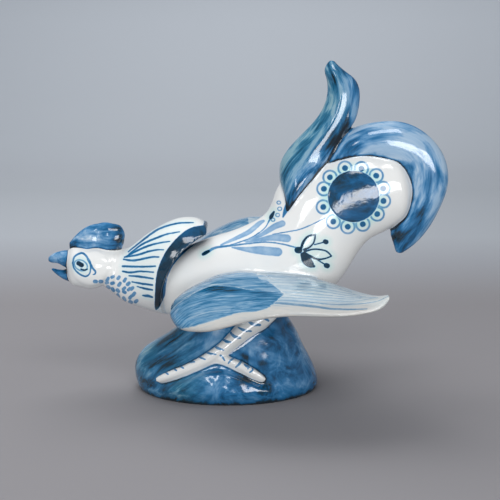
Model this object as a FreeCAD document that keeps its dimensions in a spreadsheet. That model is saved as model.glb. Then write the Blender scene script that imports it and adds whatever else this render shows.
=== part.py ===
import FreeCAD, Part
import Sketcher
import math
import os

os.makedirs("parts", exist_ok=True)

# The figure stands on the XY plane with the middle of its foot at the origin.
# The beak points along -X, the tail along +X, and the left side of the bird looks along -Y.
document = FreeCAD.newDocument("RoosterOrnament")

# Number of points that carry each oval
OVAL_POINTS = 16

# Driving sizes in millimetres and degrees
SIZES = {
    # step of the square grid that the side view is drawn on
    "side_grid": 100.0,
    # widths across the bird, each at the widest place of its piece
    "body_width": 62.0,
    # how far the cape stands proud of the body on each side
    "cape_step": 3.0,
    "head_width": 37.0,
    "comb_thickness": 17.0,
    "beak_width": 16.0,
    "crest_thickness": 25.0,
    "plume_thickness": 50.0,
    # spread wings: reach from the middle plane to the outer edge, thickness of the slab
    "wing_reach": 103.0,
    "wing_thickness": 17.0,
    "right_wing_lift_angle": 14.0,
    "right_wing_rise": 12.0,
    # relief legs on the flanks of the mound
    "leg_thickness": 17.0,
    # rock mound
    "mound_depth": 105.0,
    # clay walls of the hollow castings
    "body_wall": 5.0,
    "mound_wall": 6.0,
    # bores that let the firing air out
    "vent_bore": 12.0,
    "air_bore": 9.0,
}

sheet = document.addObject("Spreadsheet::Sheet", "Sizes")
for row, (alias, value) in enumerate(SIZES.items(), start=1):
    sheet.set("A%d" % row, alias)
    sheet.set("B%d" % row, str(value))
    sheet.setAlias("B%d" % row, alias)
document.recompute()


def size(alias):
    """Value of one driving size, read from the sheet."""
    return float(getattr(sheet, alias))


# Side view stations: upper point, lower point, and width as a share of the piece's width.
# Points are shares of the side grid, forward and back along X and up along Z.
body_shares = [
    ((-0.45, 1.20), (-0.70, 0.74), 0.66),
    ((-0.18, 1.31), (-0.51, 0.65), 0.85),
    ((0.01, 1.37), (-0.09, 0.59), 0.95),
    ((0.22, 1.46), (0.28, 0.605), 1.00),
    ((0.35, 1.58), (0.66, 0.73), 1.00),
    ((0.42, 1.76), (0.93, 0.93), 0.94),
    ((0.56, 1.89), (1.07, 1.15), 0.86),
    ((0.81, 1.99), (1.19, 1.31), 0.78),
    ((1.06, 2.075), (1.32, 1.38), 0.69),
    ((1.30, 2.055), (1.455, 1.47), 0.58),
    ((1.47, 1.94), (1.525, 1.60), 0.40),
    ((1.53, 1.81), (1.545, 1.71), 0.16),
]
cape_shares = [
    ((-0.91, 1.22), (-1.07, 0.91), 0.52),
    ((-0.84, 1.235), (-0.99, 0.85), 0.57),
    ((-0.73, 1.32), (-0.90, 0.775), 0.67),
    ((-0.58, 1.42), (-0.80, 0.735), 0.79),
    ((-0.40, 1.49), (-0.70, 0.70), 0.90),
    ((-0.22, 1.48), (-0.60, 0.67), 0.98),
    ((-0.06, 1.43), (-0.44, 0.64), 1.00),
]
head_shares = [
    ((-0.91, 1.22), (-1.07, 0.91), 0.955),
    ((-1.00, 1.24), (-1.13, 0.885), 1.00),
    ((-1.12, 1.26), (-1.20, 0.88), 1.00),
    ((-1.24, 1.26), (-1.29, 0.90), 0.90),
    ((-1.32, 1.25), (-1.345, 0.925), 0.72),
    ((-1.36, 1.21), (-1.368, 0.97), 0.44),
]
comb_shares = [
    ((-1.355, 1.27), (-1.34, 1.20), 0.30),
    ((-1.31, 1.325), (-1.29, 1.18), 0.60),
    ((-1.24, 1.39), (-1.22, 1.16), 0.90),
    ((-1.15, 1.435), (-1.14, 1.16), 1.00),
    ((-1.10, 1.445), (-1.10, 1.16), 0.86),
    ((-1.04, 1.455), (-1.04, 1.16), 1.00),
    ((-0.96, 1.44), (-0.97, 1.17), 0.94),
    ((-0.90, 1.41), (-0.92, 1.20), 0.70),
    ((-0.875, 1.35), (-0.89, 1.26), 0.35),
]
upper_beak_shares = [
    ((-1.32, 1.21), (-1.32, 1.05), 1.00),
    ((-1.40, 1.21), (-1.40, 1.07), 0.88),
    ((-1.46, 1.195), (-1.46, 1.10), 0.63),
    ((-1.51, 1.17), (-1.515, 1.105), 0.38),
    ((-1.535, 1.145), (-1.53, 1.115), 0.16),
]
lower_beak_shares = [
    ((-1.32, 1.045), (-1.32, 0.93), 0.88),
    ((-1.40, 1.04), (-1.40, 0.955), 0.70),
    ((-1.46, 1.045), (-1.46, 0.995), 0.44),
    ((-1.505, 1.06), (-1.51, 1.04), 0.20),
]
# The crest rises out of the rump, bends over the tail lobe and hooks forward at its lower end.
crest_shares = [
    ((0.77, 2.03), (0.80, 1.84), 0.66),
    ((0.90, 2.16), (0.92, 1.90), 0.82),
    ((1.03, 2.25), (1.04, 1.95), 0.94),
    ((1.24, 2.305), (1.19, 1.97), 1.00),
    ((1.48, 2.295), (1.34, 1.93), 1.00),
    ((1.68, 2.18), (1.44, 1.87), 0.95),
    ((1.81, 2.00), (1.49, 1.79), 0.88),
    ((1.845, 1.80), (1.50, 1.70), 0.80),
    ((1.80, 1.62), (1.48, 1.58), 0.72),
    ((1.71, 1.43), (1.42, 1.47), 0.62),
    ((1.60, 1.285), (1.37, 1.37), 0.50),
    ((1.53, 1.225), (1.40, 1.27), 0.36),
    ((1.47, 1.185), (1.42, 1.20), 0.20),
]
# The plume sits over the rump like a saddle and narrows to a leaf above it.
plume_shares = [
    ((0.43, 1.51), (0.49, 1.50), 0.80),
    ((0.46, 1.66), (0.57, 1.66), 0.98),
    ((0.445, 1.76), (0.66, 1.76), 1.00),
    ((0.43, 1.87), (0.76, 1.87), 0.92),
    ((0.44, 1.97), (0.84, 1.98), 0.76),
    ((0.51, 2.09), (0.92, 2.10), 0.60),
    ((0.63, 2.22), (1.00, 2.23), 0.47),
    ((0.73, 2.33), (1.06, 2.33), 0.40),
    ((0.79, 2.43), (1.085, 2.44), 0.35),
    ((0.82, 2.55), (1.085, 2.57), 0.30),
    ((0.81, 2.67), (1.03, 2.675), 0.25),
    ((0.80, 2.74), (0.94, 2.745), 0.18),
    ((0.845, 2.80), (0.87, 2.798), 0.08),
]
# Wing stations: place along X, inner edge and outer edge, thickness share.
# An edge is a share of the wing reach from the middle plane, and a height share of the side grid.
wing_shares = [
    (-0.46, (0.40, 0.85), (0.60, 0.82), 0.35),
    (-0.40, (0.30, 0.87), (0.77, 0.795), 0.75),
    (-0.28, (0.25, 0.905), (0.88, 0.79), 0.98),
    (-0.12, (0.23, 0.96), (0.94, 0.81), 1.00),
    (0.05, (0.22, 1.035), (0.97, 0.86), 0.98),
    (0.25, (0.22, 1.06), (0.99, 0.915), 0.92),
    (0.50, (0.22, 1.05), (1.00, 0.945), 0.85),
    (0.75, (0.25, 1.015), (1.00, 0.94), 0.76),
    (0.95, (0.37, 0.98), (0.985, 0.94), 0.66),
    (1.11, (0.52, 0.965), (0.96, 0.96), 0.55),
    (1.22, (0.66, 0.985), (0.93, 1.00), 0.42),
    (1.275, (0.76, 1.03), (0.87, 1.045), 0.24),
]
# The covert is a raised lobe of short feathers on the front half of the same wing casting.
covert_shares = [
    (-0.44, (0.40, 0.875), (0.62, 0.835), 0.45),
    (-0.35, (0.30, 0.915), (0.77, 0.825), 1.00),
    (-0.21, (0.26, 0.97), (0.84, 0.845), 1.38),
    (-0.06, (0.25, 1.025), (0.86, 0.875), 1.45),
    (0.11, (0.27, 1.06), (0.81, 0.94), 1.30),
    (0.28, (0.33, 1.06), (0.72, 0.985), 1.02),
    (0.42, (0.43, 1.04), (0.61, 1.01), 0.50),
]
wing_pivot_shares = (-0.41, 0.90)
cape_top_share = -0.18
# Leg stations: middle point along X and Z, distance from the middle plane as a share of half the
# mound's depth, breadth and thickness as shares of the leg thickness. The first list runs from the
# thigh to the front toe.
shank_shares = [
    (0.365, 0.93, 0.33, 1.85, 0.90),
    (0.310, 0.795, 0.385, 1.85, 1.20),
    (0.240, 0.69, 0.46, 1.42, 1.15),
    (0.132, 0.592, 0.585, 0.94, 1.05),
    (0.028, 0.502, 0.685, 0.72, 0.95),
    (-0.086, 0.421, 0.76, 0.64, 0.90),
    (-0.20, 0.355, 0.795, 0.58, 0.85),
    (-0.34, 0.289, 0.815, 0.49, 0.78),
    (-0.48, 0.233, 0.795, 0.43, 0.68),
    (-0.59, 0.18, 0.73, 0.28, 0.44),
]
rear_toe_shares = [
    (-0.12, 0.378, 0.75, 0.46, 0.80),
    (0.00, 0.348, 0.795, 0.48, 0.82),
    (0.12, 0.306, 0.84, 0.48, 0.78),
    (0.23, 0.252, 0.87, 0.42, 0.66),
    (0.305, 0.205, 0.87, 0.24, 0.44),
]
# Mound stations: height, front end and back end as shares of the side grid, and depth share.
mound_shares = [
    (0.00, -0.775, 0.755, 0.96),
    (0.06, -0.80, 0.77, 1.00),
    (0.16, -0.815, 0.74, 0.99),
    (0.26, -0.79, 0.695, 0.92),
    (0.36, -0.69, 0.65, 0.83),
    (0.46, -0.54, 0.605, 0.74),
    (0.56, -0.43, 0.55, 0.66),
    (0.68, -0.36, 0.48, 0.57),
    (0.82, -0.31, 0.42, 0.46),
]
# Round rear edge of the cape, seen from the side: its middle, and its radius as a share of the grid
cape_edge_shares = (0.04, 0.83)
cape_edge_radius_share = 0.60
# Place of the vent under the mound, and ends of the air bores between the hollow castings
vent_shares = (0.30, 0.00)
belly_bore_shares = ((0.12, 0.43), (0.12, 0.80))
neck_bore_shares = ((-1.18, 1.07), (-0.25, 0.98))


def side_point(shares):
    """Point of the middle plane from its two shares of the side grid."""
    step = size("side_grid")
    return FreeCAD.Vector(shares[0] * step, 0, shares[1] * step)


def oval(first, second, thickness, across):
    """Closed oval curve, long way from first to second, thickness along across."""
    middle = (first + second) * 0.5
    half = first - middle
    side = across * (thickness / 2)
    turns = [2 * math.pi * number / OVAL_POINTS for number in range(OVAL_POINTS + 1)]
    points = [middle + half * math.cos(turn) + side * math.sin(turn) for turn in turns[:-1]]
    curve = Part.BSplineCurve()
    curve.interpolate(Points=points, Parameters=turns, PeriodicFlag=True)
    return curve


def side_stations(shares, width):
    """Edge points and thickness of each station of a piece that lies in the middle plane."""
    across = FreeCAD.Vector(0, 1, 0)
    return [(side_point(top), side_point(low), share * width, across) for top, low, share in shares]


def skin(stations):
    """Smooth solid through the ovals of the stations, with a flat end at each side."""
    ovals = [oval(*station) for station in stations]
    middles = [(station[0] + station[1]) * 0.5 for station in stations]
    places = [0.0]
    for behind, ahead in zip(middles, middles[1:]):
        places.append(places[-1] + (ahead - behind).Length)
    lines = []
    for poles in zip(*[curve.getPoles() for curve in ovals]):
        line = Part.BSplineCurve()
        line.interpolate(Points=list(poles), Parameters=places)
        lines.append(line)
    surface = Part.BSplineSurface()
    surface.buildFromPolesMultsKnots(
        [line.getPoles() for line in lines], ovals[0].getMultiplicities(), lines[0].getMultiplicities(),
        ovals[0].getKnots(), lines[0].getKnots(), True, False, ovals[0].Degree, lines[0].Degree)
    faces = [surface.toShape()]
    for curve in (ovals[0], ovals[-1]):
        faces.append(Part.Face(Part.Wire([curve.toShape()])))
    shell = Part.makeShell(faces)
    shell.sewShape()
    solid = Part.makeSolid(shell)
    if solid.Volume < 0:
        solid.reverse()
    return solid


def cavity(stations, wall):
    """Smooth solid one wall inside the skin of the same stations."""
    inner = []
    for first, second, thickness, across in stations:
        inset = (second - first).normalize() * wall
        inner.append((first + inset, second - inset, thickness - 2 * wall, across))
    return skin(inner)


def wing_stations(shares, side):
    """Stations of a wing casting. Side is -1 for the left wing and 1 for the right wing."""
    step = size("side_grid")
    reach = size("wing_reach") * side
    stations = []
    for along, inner, outer, share in shares:
        first = FreeCAD.Vector(along * step, inner[0] * reach, inner[1] * step)
        second = FreeCAD.Vector(along * step, outer[0] * reach, outer[1] * step)
        across = (second - first).cross(FreeCAD.Vector(side, 0, 0)).normalize()
        stations.append((first, second, share * size("wing_thickness"), across))
    return stations


def leg_stations(shares, side):
    """Stations of one run of a leg, square to the run and broad along the flank of the mound."""
    step = size("side_grid")
    spread = size("mound_depth") / 2 * side
    middles = [FreeCAD.Vector(along * step, out * spread, up * step) for along, up, out, _, _ in shares]
    outward = FreeCAD.Vector(0, side, 1).normalize()
    stations = []
    for number, (_, _, _, breadth, thickness) in enumerate(shares):
        ahead = middles[min(number + 1, len(middles) - 1)]
        behind = middles[max(number - 1, 0)]
        run = (ahead - behind).normalize()
        broad = run.cross(outward).normalize()
        across = broad.cross(run).normalize()
        half = broad * (breadth * size("leg_thickness") / 2)
        middle = middles[number]
        stations.append((middle - half, middle + half, thickness * size("leg_thickness"), across))
    return stations


def form(name, shape):
    """Document object that holds one smooth form."""
    feature = document.addObject("Part::Feature", name)
    feature.Shape = shape
    feature.Placement = FreeCAD.Placement()
    return feature


def cut(name, base, tools):
    """Base without the tools, as a chain of boolean objects. The last one carries the name."""
    for number, tool in enumerate(tools):
        last = number == len(tools) - 1
        step = document.addObject("Part::Cut", name if last else "%s_trim_%d" % (name, number))
        step.Base = base
        step.Tool = tool
        base = step
    base.Label = name
    return base


def fused(name, first, second):
    """Both forms grown together."""
    union = document.addObject("Part::Fuse", name)
    union.Base = first
    union.Tool = second
    return union


def bore(name, diameter, ends):
    """Round bore between two points."""
    start, end = ends
    tool = document.addObject("Part::Cylinder", name)
    tool.setExpression("Radius", "Sizes.%s / 2" % diameter)
    tool.Height = (end - start).Length
    tool.Placement = FreeCAD.Placement(start, FreeCAD.Rotation(FreeCAD.Vector(0, 0, 1), end - start))
    return tool


def mound_plane(body):
    """The horizontal origin plane of a body."""
    return [plane for plane in body.Origin.OriginFeatures if plane.Role == "XY_Plane"][0]


def mound_sketch(body, name, station, inset):
    """Sketch of one level oval of the mound, its two axes bound to the sheet."""
    height, front, back, depth = station
    sketch = body.newObject("Sketcher::SketchObject", name)
    sketch.AttachmentSupport = [(mound_plane(body), "")]
    sketch.MapMode = "FlatFace"
    sketch.setExpression(".AttachmentOffset.Base.x", "Sizes.side_grid * %s" % ((front + back) / 2))
    sketch.setExpression(".AttachmentOffset.Base.z", "Sizes.side_grid * %s + %s" % (height, inset[1]))
    half_length = size("side_grid") * (back - front) / 2
    half_depth = size("mound_depth") * depth / 2
    middle = FreeCAD.Vector(0, 0, 0)
    long_end = FreeCAD.Vector(half_length, 0, 0)
    short_end = FreeCAD.Vector(0, half_depth, 0)
    sketch.addGeometry(Part.Ellipse(long_end, short_end, middle), False)
    sketch.exposeInternalGeometry(0)
    sketch.addConstraint(Sketcher.Constraint("Coincident", 0, 3, -1, 1))
    sketch.addConstraint(Sketcher.Constraint("Horizontal", 1))
    sketch.addConstraint(Sketcher.Constraint("Distance", 1, 2 * half_length))
    sketch.renameConstraint(sketch.ConstraintCount - 1, "long_axis")
    sketch.addConstraint(Sketcher.Constraint("Distance", 2, 2 * half_depth))
    sketch.renameConstraint(sketch.ConstraintCount - 1, "short_axis")
    sketch.setExpression("Constraints.long_axis", "Sizes.side_grid * %s - %s" % (back - front, inset[0]))
    sketch.setExpression("Constraints.short_axis", "Sizes.mound_depth * %s - %s" % (depth, inset[0]))
    return sketch


def mound_body():
    """Hollow mound: a loft through level ovals, and the same loft one wall inside taken out."""
    body = document.addObject("PartDesign::Body", "MoundBody")
    outer = [mound_sketch(body, "Level%d" % number, station, ("0", "0"))
             for number, station in enumerate(mound_shares)]
    document.recompute()
    loft = body.newObject("PartDesign::AdditiveLoft", "MoundSkin")
    loft.Profile = outer[0]
    loft.Sections = outer[1:]
    document.recompute()
    inner = [mound_sketch(body, "HollowFloor", mound_shares[0], ("3 * Sizes.mound_wall", "Sizes.mound_wall"))]
    for number, station in enumerate(mound_shares[2:-3]):
        inner.append(mound_sketch(body, "Hollow%d" % number, station, ("3 * Sizes.mound_wall", "0")))
    document.recompute()
    hollow = body.newObject("PartDesign::SubtractiveLoft", "MoundHollow")
    hollow.Profile = inner[0]
    hollow.Sections = inner[1:]
    document.recompute()
    return body


def leg(name, side):
    """One relief leg: shank with front toe, and the rear toe grown onto it."""
    shank = form(name + "_shank", skin(leg_stations(shank_shares, side)))
    rear_toe = form(name + "_rear_toe", skin(leg_stations(rear_toe_shares, side)))
    return fused(name + "_form", shank, rear_toe)


def wing(name, side):
    """One wing: the slab of flight feathers with the covert grown onto it."""
    slab = form(name + "_slab", skin(wing_stations(wing_shares, side)))
    covert = form(name + "_covert", skin(wing_stations(covert_shares, side)))
    return fused(name + "_form", slab, covert)


body_stations = side_stations(body_shares, size("body_width"))
cape_width = size("body_width") + 2 * size("cape_step")
cape_stations = side_stations(cape_shares, cape_width)
head_stations = side_stations(head_shares, size("head_width"))
body_form = form("body_form", skin(body_stations))
cape_form = form("cape_form", skin(cape_stations))
head_form = form("head_form", skin(head_stations))

# Bores that join the hollows of the mound, the body and the neck
belly_bore = bore("belly_bore", "air_bore", [side_point(shares) for shares in belly_bore_shares])
neck_bore = bore("neck_bore", "air_bore", [side_point(shares) for shares in neck_bore_shares])

# Cape: its round rear edge is the outside of a cylinder that lies across the bird
edge_tool = document.addObject("Part::Cylinder", "cape_edge")
edge_tool.setExpression("Radius", "Sizes.side_grid * %s" % cape_edge_radius_share)
edge_tool.setExpression("Height", "2 * (Sizes.body_width + 2 * Sizes.cape_step)")
edge_tool.Placement = FreeCAD.Placement(
    side_point(cape_edge_shares) - FreeCAD.Vector(0, cape_width, 0),
    FreeCAD.Rotation(FreeCAD.Vector(0, 0, 1), FreeCAD.Vector(0, 1, 0)))
top_tool = document.addObject("Part::Box", "cape_top")
for side in ("Length", "Width", "Height"):
    top_tool.setExpression(side, "2 * (Sizes.body_width + 2 * Sizes.cape_step)")
top_tool.Placement = FreeCAD.Placement(
    side_point((cape_top_share, cape_edge_shares[1])) - FreeCAD.Vector(0, cape_width, 0),
    FreeCAD.Rotation())
cape_solid = cut("cape_solid", cape_form, [edge_tool, top_tool])
cape_hollow = form("cape_hollow", cavity(cape_stations[1:5], size("body_wall")))
cape = cut("neck_cape", cape_solid, [cape_hollow, neck_bore])

# Body: everything behind the cape, with the tail lobe
body_solid = cut("body_solid", body_form, [cape_solid])
body_hollow = form("body_hollow", cavity(body_stations[1:11], size("body_wall")))
torso = cut("body_shell", body_solid, [body_hollow, neck_bore, belly_bore])

# Head with its comb and the two halves of the beak
head_hollow = form("head_hollow", cavity(head_stations[1:5], size("body_wall")))
head = cut("head", head_form, [head_hollow, neck_bore])
comb_form = form("comb_form", skin(side_stations(comb_shares, size("comb_thickness"))))
comb = cut("comb", comb_form, [head_form, cape_solid])
upper_beak_form = form("upper_beak_form", skin(side_stations(upper_beak_shares, size("beak_width"))))
upper_beak = cut("upper_beak", upper_beak_form, [head_form])
lower_beak_form = form("lower_beak_form", skin(side_stations(lower_beak_shares, size("beak_width"))))
lower_beak = cut("lower_beak", lower_beak_form, [head_form])

# Tail: the plume sits over body and crest, the crest is trimmed by both
plume_form = form("plume_form", skin(side_stations(plume_shares, size("plume_thickness"))))
plume = cut("tail_plume", plume_form, [body_form])
crest_form = form("crest_form", skin(side_stations(crest_shares, size("crest_thickness"))))
crest = cut("tail_crest", crest_form, [body_form, plume_form])

# Wings: the left one droops, the right one is lifted about its shoulder
left_wing_form = wing("left_wing", -1)
right_wing_form = wing("right_wing", 1)
pivot = side_point(wing_pivot_shares)
lift = FreeCAD.Rotation(FreeCAD.Vector(0, 1, 0), -size("right_wing_lift_angle"))
right_wing_form.Placement = FreeCAD.Placement(FreeCAD.Vector(0, 0, size("right_wing_rise")), lift, pivot)
left_wing = cut("left_wing", left_wing_form, [body_form, cape_solid])
right_wing = cut("right_wing", right_wing_form, [body_form, cape_solid])

# Mound with its vent, and the legs in relief on it
mound = mound_body()
vent_foot = side_point(vent_shares)
vent_depth = FreeCAD.Vector(0, 0, 2 * size("mound_wall"))
vent_tool = bore("vent_tool", "vent_bore", [vent_foot - vent_depth, vent_foot + vent_depth])
base_rock = cut("base_rock", mound, [body_form, vent_tool, belly_bore])
mound_plug = form("mound_plug", Part.Solid(mound.Shape.Solids[0].OuterShell))
left_leg = cut("left_leg", leg("left_leg", -1), [body_form, mound_plug, left_wing_form])
right_leg = cut("right_leg", leg("right_leg", 1), [body_form, mound_plug, right_wing_form])

document.recompute()

PIECES = [base_rock, torso, cape, head, comb, upper_beak, lower_beak, plume, crest,
          left_wing, right_wing, left_leg, right_leg]
for item in document.Objects:
    if "Invalid" in item.State or "Error" in item.State:
        raise RuntimeError("%s did not recompute: %s" % (item.Name, item.State))
for piece in PIECES:
    if piece.Shape.isNull() or not piece.Shape.isValid():
        raise RuntimeError("%s has no valid shape" % piece.Label)
    piece.Shape.exportStep("parts/%s.step" % piece.Label)
    print(piece.Label, len(piece.Shape.Solids), round(piece.Shape.Volume), piece.Shape.BoundBox)
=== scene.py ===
"""A blue and white glazed rooster that lunges over a rock mound: the outer skin of each of its parts."""
import math

import bmesh
import bpy
import numpy as np
from mathutils import Matrix, Vector, noise
from mathutils.bvhtree import BVHTree
from mathutils.kdtree import KDTree


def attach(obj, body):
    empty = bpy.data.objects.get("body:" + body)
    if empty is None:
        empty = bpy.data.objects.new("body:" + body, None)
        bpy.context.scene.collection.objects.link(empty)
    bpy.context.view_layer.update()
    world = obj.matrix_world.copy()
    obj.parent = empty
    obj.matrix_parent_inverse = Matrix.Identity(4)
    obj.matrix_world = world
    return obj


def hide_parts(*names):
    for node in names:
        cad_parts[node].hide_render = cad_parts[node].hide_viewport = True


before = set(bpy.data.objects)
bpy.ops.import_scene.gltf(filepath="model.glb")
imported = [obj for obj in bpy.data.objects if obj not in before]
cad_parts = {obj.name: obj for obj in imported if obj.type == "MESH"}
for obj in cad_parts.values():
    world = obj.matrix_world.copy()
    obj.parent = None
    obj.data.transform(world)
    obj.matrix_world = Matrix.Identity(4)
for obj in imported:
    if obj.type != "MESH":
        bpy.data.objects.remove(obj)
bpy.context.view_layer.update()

# The leather-hard figure. Slip castings and hand-made parts of white clay are luted together and wiped
# smooth, so one soft skin runs over all thirteen parts and each joint is a small fillet. Only this outer
# skin is shaped here, and the mound's open vent is stopped up, so that it shows as a dimple 4 mm deep.
clay_grain = 0.00115
wiping_strokes, joint_strokes, fillet_strokes, fillet_rings = 14, 16, 5, 4
wiping_in, wiping_out = 0.5, 0.53
hidden_edge, joint_fade = 0.0016, 4.0
stopper_place, stopper_radius, stopper_height = (0.03, 0.0, 0.0065), 0.0078, 0.005


def rows_of(items, name, wide):
    """Places of a mesh's points, or the points of its faces, in rows."""
    values = np.empty(len(items) * 3) if name == "co" else np.empty(len(items), np.int64)
    items.foreach_get(name, values)
    return values.reshape(-1, wide)


def set_out(title, data):
    """A new object in the scene."""
    thing = bpy.data.objects.new(title, data)
    bpy.context.scene.collection.objects.link(thing)
    return thing


def ring_average(points, pairs):
    """Average place of the neighbours of every point."""
    total = np.empty_like(points)
    for axis in range(3):
        total[:, axis] = np.bincount(pairs[:, 0], points[pairs[:, 1], axis], len(points))
        total[:, axis] += np.bincount(pairs[:, 1], points[pairs[:, 0], axis], len(points))
    return total / np.maximum(np.bincount(pairs.ravel(), minlength=len(points)), 1)[:, None]


def skin_normals(points, quads):
    """Direction that the skin faces at every point."""
    facing = np.cross(points[quads[:, 2]] - points[quads[:, 0]], points[quads[:, 3]] - points[quads[:, 1]])
    total = np.zeros_like(points)
    for corner in range(4):
        for axis in range(3):
            total[:, axis] += np.bincount(quads[:, corner], facing[:, axis], len(points))
    return total / np.maximum(np.linalg.norm(total, axis=1), 1e-12)[:, None]


castings = sorted(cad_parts)
clay = bmesh.new()
solid_points, solid_faces, solid_owner = [], [], []
for number, casting in enumerate(castings):
    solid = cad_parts[casting].data
    clay.from_mesh(solid)
    solid_faces.append(rows_of(solid.loops, "vertex_index", 3) + sum(len(part) for part in solid_points))
    solid_points.append(rows_of(solid.vertices, "co", 3))
    solid_owner.append(np.full(len(solid_faces[-1]), number))
solid_owner = np.concatenate(solid_owner)
solid_tree = BVHTree.FromPolygons(np.concatenate(solid_points).tolist(), np.concatenate(solid_faces).tolist())
bmesh.ops.remove_doubles(clay, verts=clay.verts, dist=1e-6)
bmesh.ops.create_cone(clay, cap_ends=True, segments=24, radius1=stopper_radius, radius2=stopper_radius,
                      depth=stopper_height, matrix=Matrix.Translation(stopper_place))
lump = bpy.data.meshes.new("leather_hard_clay")
clay.to_mesh(lump)
clay.free()
figure = set_out("leather_hard_clay", lump)
wipe = figure.modifiers.new("wipe", "REMESH")
wipe.mode = "VOXEL"
wipe.voxel_size = clay_grain
wiped = bpy.data.meshes.new_from_object(figure.evaluated_get(bpy.context.evaluated_depsgraph_get()))
bpy.data.objects.remove(figure)
skin_points = rows_of(wiped.vertices, "co", 3)
skin_quads = rows_of(wiped.loops, "vertex_index", 4)

island = np.arange(len(skin_points))
while True:
    lowest = island[skin_quads].min(1)
    spread = island.copy()
    for corner in range(4):
        np.minimum.at(spread, skin_quads[:, corner], lowest)
    spread = spread[spread]
    if (spread == island).all():
        break
    island = spread
main_island = np.bincount(island).argmax()
skin_quads = skin_quads[island[skin_quads[:, 0]] == main_island]
kept, skin_quads = np.unique(skin_quads, return_inverse=True)
skin_points = skin_points[kept]
skin_quads = skin_quads.reshape(-1, 4)

sides = np.concatenate([skin_quads[:, [corner, (corner + 1) % 4]] for corner in range(4)])
sides.sort(axis=1)
side_codes, side_of_quad = np.unique(sides[:, 0] * len(skin_points) + sides[:, 1], return_inverse=True)
skin_pairs = np.stack([side_codes // len(skin_points), side_codes % len(skin_points)], 1)

middles = skin_points[skin_quads].mean(1)
quad_owner = np.array([solid_owner[solid_tree.find_nearest(place)[2]] for place in middles.tolist()])
for turn in range(3):
    votes = np.zeros((len(skin_points), len(castings)))
    for corner in range(4):
        np.add.at(votes, (skin_quads[:, corner], quad_owner), 1)
    quad_owner = votes[skin_quads].sum(1).argmax(1)

for stroke in range(wiping_strokes):
    skin_points += wiping_in * (ring_average(skin_points, skin_pairs) - skin_points)
    skin_points -= wiping_out * (ring_average(skin_points, skin_pairs) - skin_points)

first_owner = np.full(len(skin_pairs), len(castings))
last_owner = np.full(len(skin_pairs), -1)
np.minimum.at(first_owner, side_of_quad.ravel(), np.tile(quad_owner, 4))
np.maximum.at(last_owner, side_of_quad.ravel(), np.tile(quad_owner, 4))
joint_pairs = skin_pairs[first_owner != last_owner]
joint_count = np.bincount(joint_pairs.ravel(), minlength=len(skin_points))
on_joint = joint_count > 0
along_joint = joint_count == 2
for stroke in range(joint_strokes):
    halfway = ring_average(skin_points, joint_pairs)
    skin_points[along_joint] += 0.5 * (halfway - skin_points)[along_joint]
by_joint = on_joint.copy()
for ring in range(fillet_rings):
    touched = by_joint[skin_pairs].any(1)
    by_joint[skin_pairs[touched].ravel()] = True
by_joint &= ~on_joint
for stroke in range(fillet_strokes):
    skin_points[by_joint] += 0.5 * (ring_average(skin_points, skin_pairs) - skin_points)[by_joint]
skin_points[:, 2] = np.maximum(skin_points[:, 2], 0.0)
skin_directions = skin_normals(skin_points, skin_quads)


def read_field(piece, name, wide=1):
    """One number, or three, for every point of a piece."""
    values = np.empty(len(piece.data.vertices) * wide, np.float32)
    piece.data.attributes[name].data.foreach_get("vector" if wide == 3 else "value", values)
    return values.reshape(-1, 3).astype(float) if wide == 3 else values.astype(float)


def write_field(piece, name, values):
    """Keeps one number, or three, for every point of a piece, for its glaze to read."""
    wide = np.ndim(values) == 2
    kept = piece.data.attributes.get(name)
    if kept is None:
        kept = piece.data.attributes.new(name, "FLOAT_VECTOR" if wide else "FLOAT", "POINT")
    kept.data.foreach_set("vector" if wide else "value", np.asarray(values, np.float32).ravel())


def cut_casting(node, title):
    """The skin of one part, as a mesh of its own that still knows how the joined skin faces."""
    quads = skin_quads[quad_owner == castings.index(node)]
    used, quads = np.unique(quads, return_inverse=True)
    quads = quads.reshape(-1, 4)
    mesh = bpy.data.meshes.new(title)
    mesh.from_pydata(skin_points[used].tolist(), [], quads.tolist())
    piece = set_out(title, mesh)
    piece["node"] = node
    write_field(piece, "soft_normal", skin_directions[used])
    write_field(piece, "joint", on_joint[used].astype(float))
    rim = skin_points[used][on_joint[used]]
    tree = KDTree(len(rim))
    for number, place in enumerate(rim.tolist()):
        tree.insert(place, number)
    tree.balance()
    write_field(piece, "joint_gap", [tree.find(place)[2] * 1000 for place in skin_points[used].tolist()])
    return piece


def positions(piece):
    """Places of a piece's points, in metres."""
    return rows_of(piece.data.vertices, "co", 3)


def swell(piece, millimetres, share=(1, 1, 1)):
    """Raises the clay along its own direction, by less and less towards a joint."""
    normals = read_field(piece, "soft_normal", 3)
    joint = read_field(piece, "joint") > 0.5
    fading = np.clip(read_field(piece, "joint_gap") / joint_fade, 0, 1)
    raised = positions(piece) + normals * (millimetres * fading * 0.001)[:, None] * np.array(share)
    piece.data.vertices.foreach_set("co", raised.ravel())
    fresh = skin_normals(raised, rows_of(piece.data.loops, "vertex_index", 4))
    fresh[joint] = normals[joint]
    write_field(piece, "soft_normal", fresh)


def divide_near(piece, gap, reach):
    """Gives the skin finer quads close to brush edges, so that they come out crisp."""
    near = np.abs(gap) < reach
    mesh = bmesh.new()
    mesh.from_mesh(piece.data)
    mesh.verts.ensure_lookup_table()
    edges = {edge for face in mesh.faces if any(near[vert.index] for vert in face.verts) for edge in face.edges}
    bmesh.ops.subdivide_edges(mesh, edges=list(edges), cuts=1, use_grid_fill=True)
    mesh.to_mesh(piece.data)
    mesh.free()


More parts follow.
